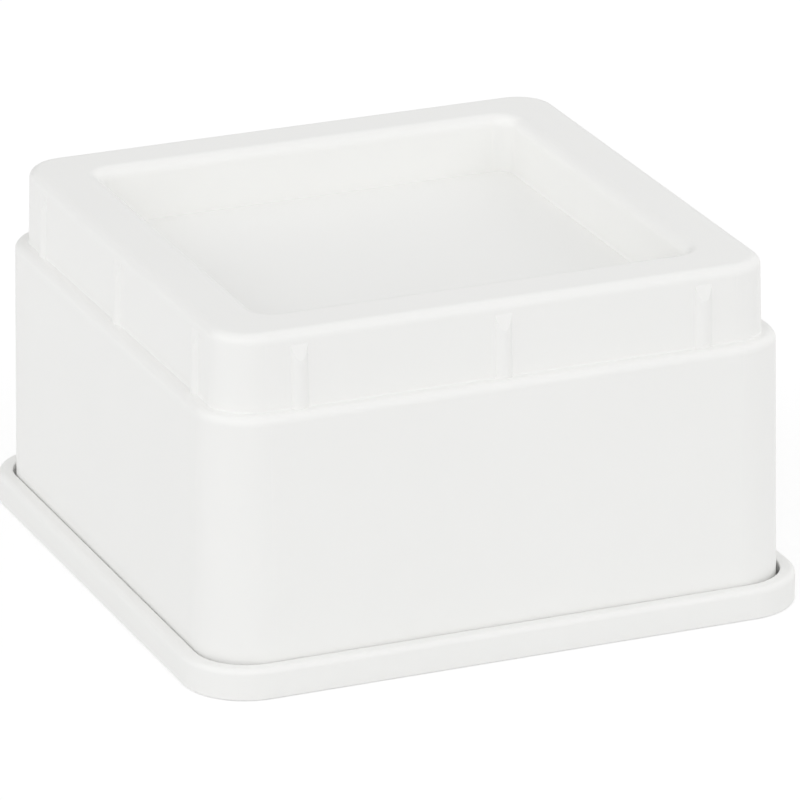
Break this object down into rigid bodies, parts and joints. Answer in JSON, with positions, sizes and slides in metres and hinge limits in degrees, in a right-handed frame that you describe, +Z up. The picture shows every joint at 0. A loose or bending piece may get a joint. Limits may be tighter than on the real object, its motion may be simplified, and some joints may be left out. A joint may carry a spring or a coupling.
{
  "type": "bed riser",
  "caption": "Square stacking furniture riser: a hollow moulded block with a ribbed neck and a top recess for a furniture foot, standing loose in a shallow lipped base tray.",
  "frame": {"origin": "on the ground, under the middle of the base tray", "axes": "+Z up through the middle of the recess; X and Y along the sides of the square, all four sides being alike"},
  "size_m": [0.162, 0.162, 0.09],
  "materials": {
    "block_plastic": "white moulded plastic with a fine satin grain",
    "tray_plastic": "white moulded plastic with a fine satin grain"
  },
  "bodies": {
    "root": {"riser_block": "block_plastic", "base_tray": "tray_plastic"}
  },
  "joints": []
}
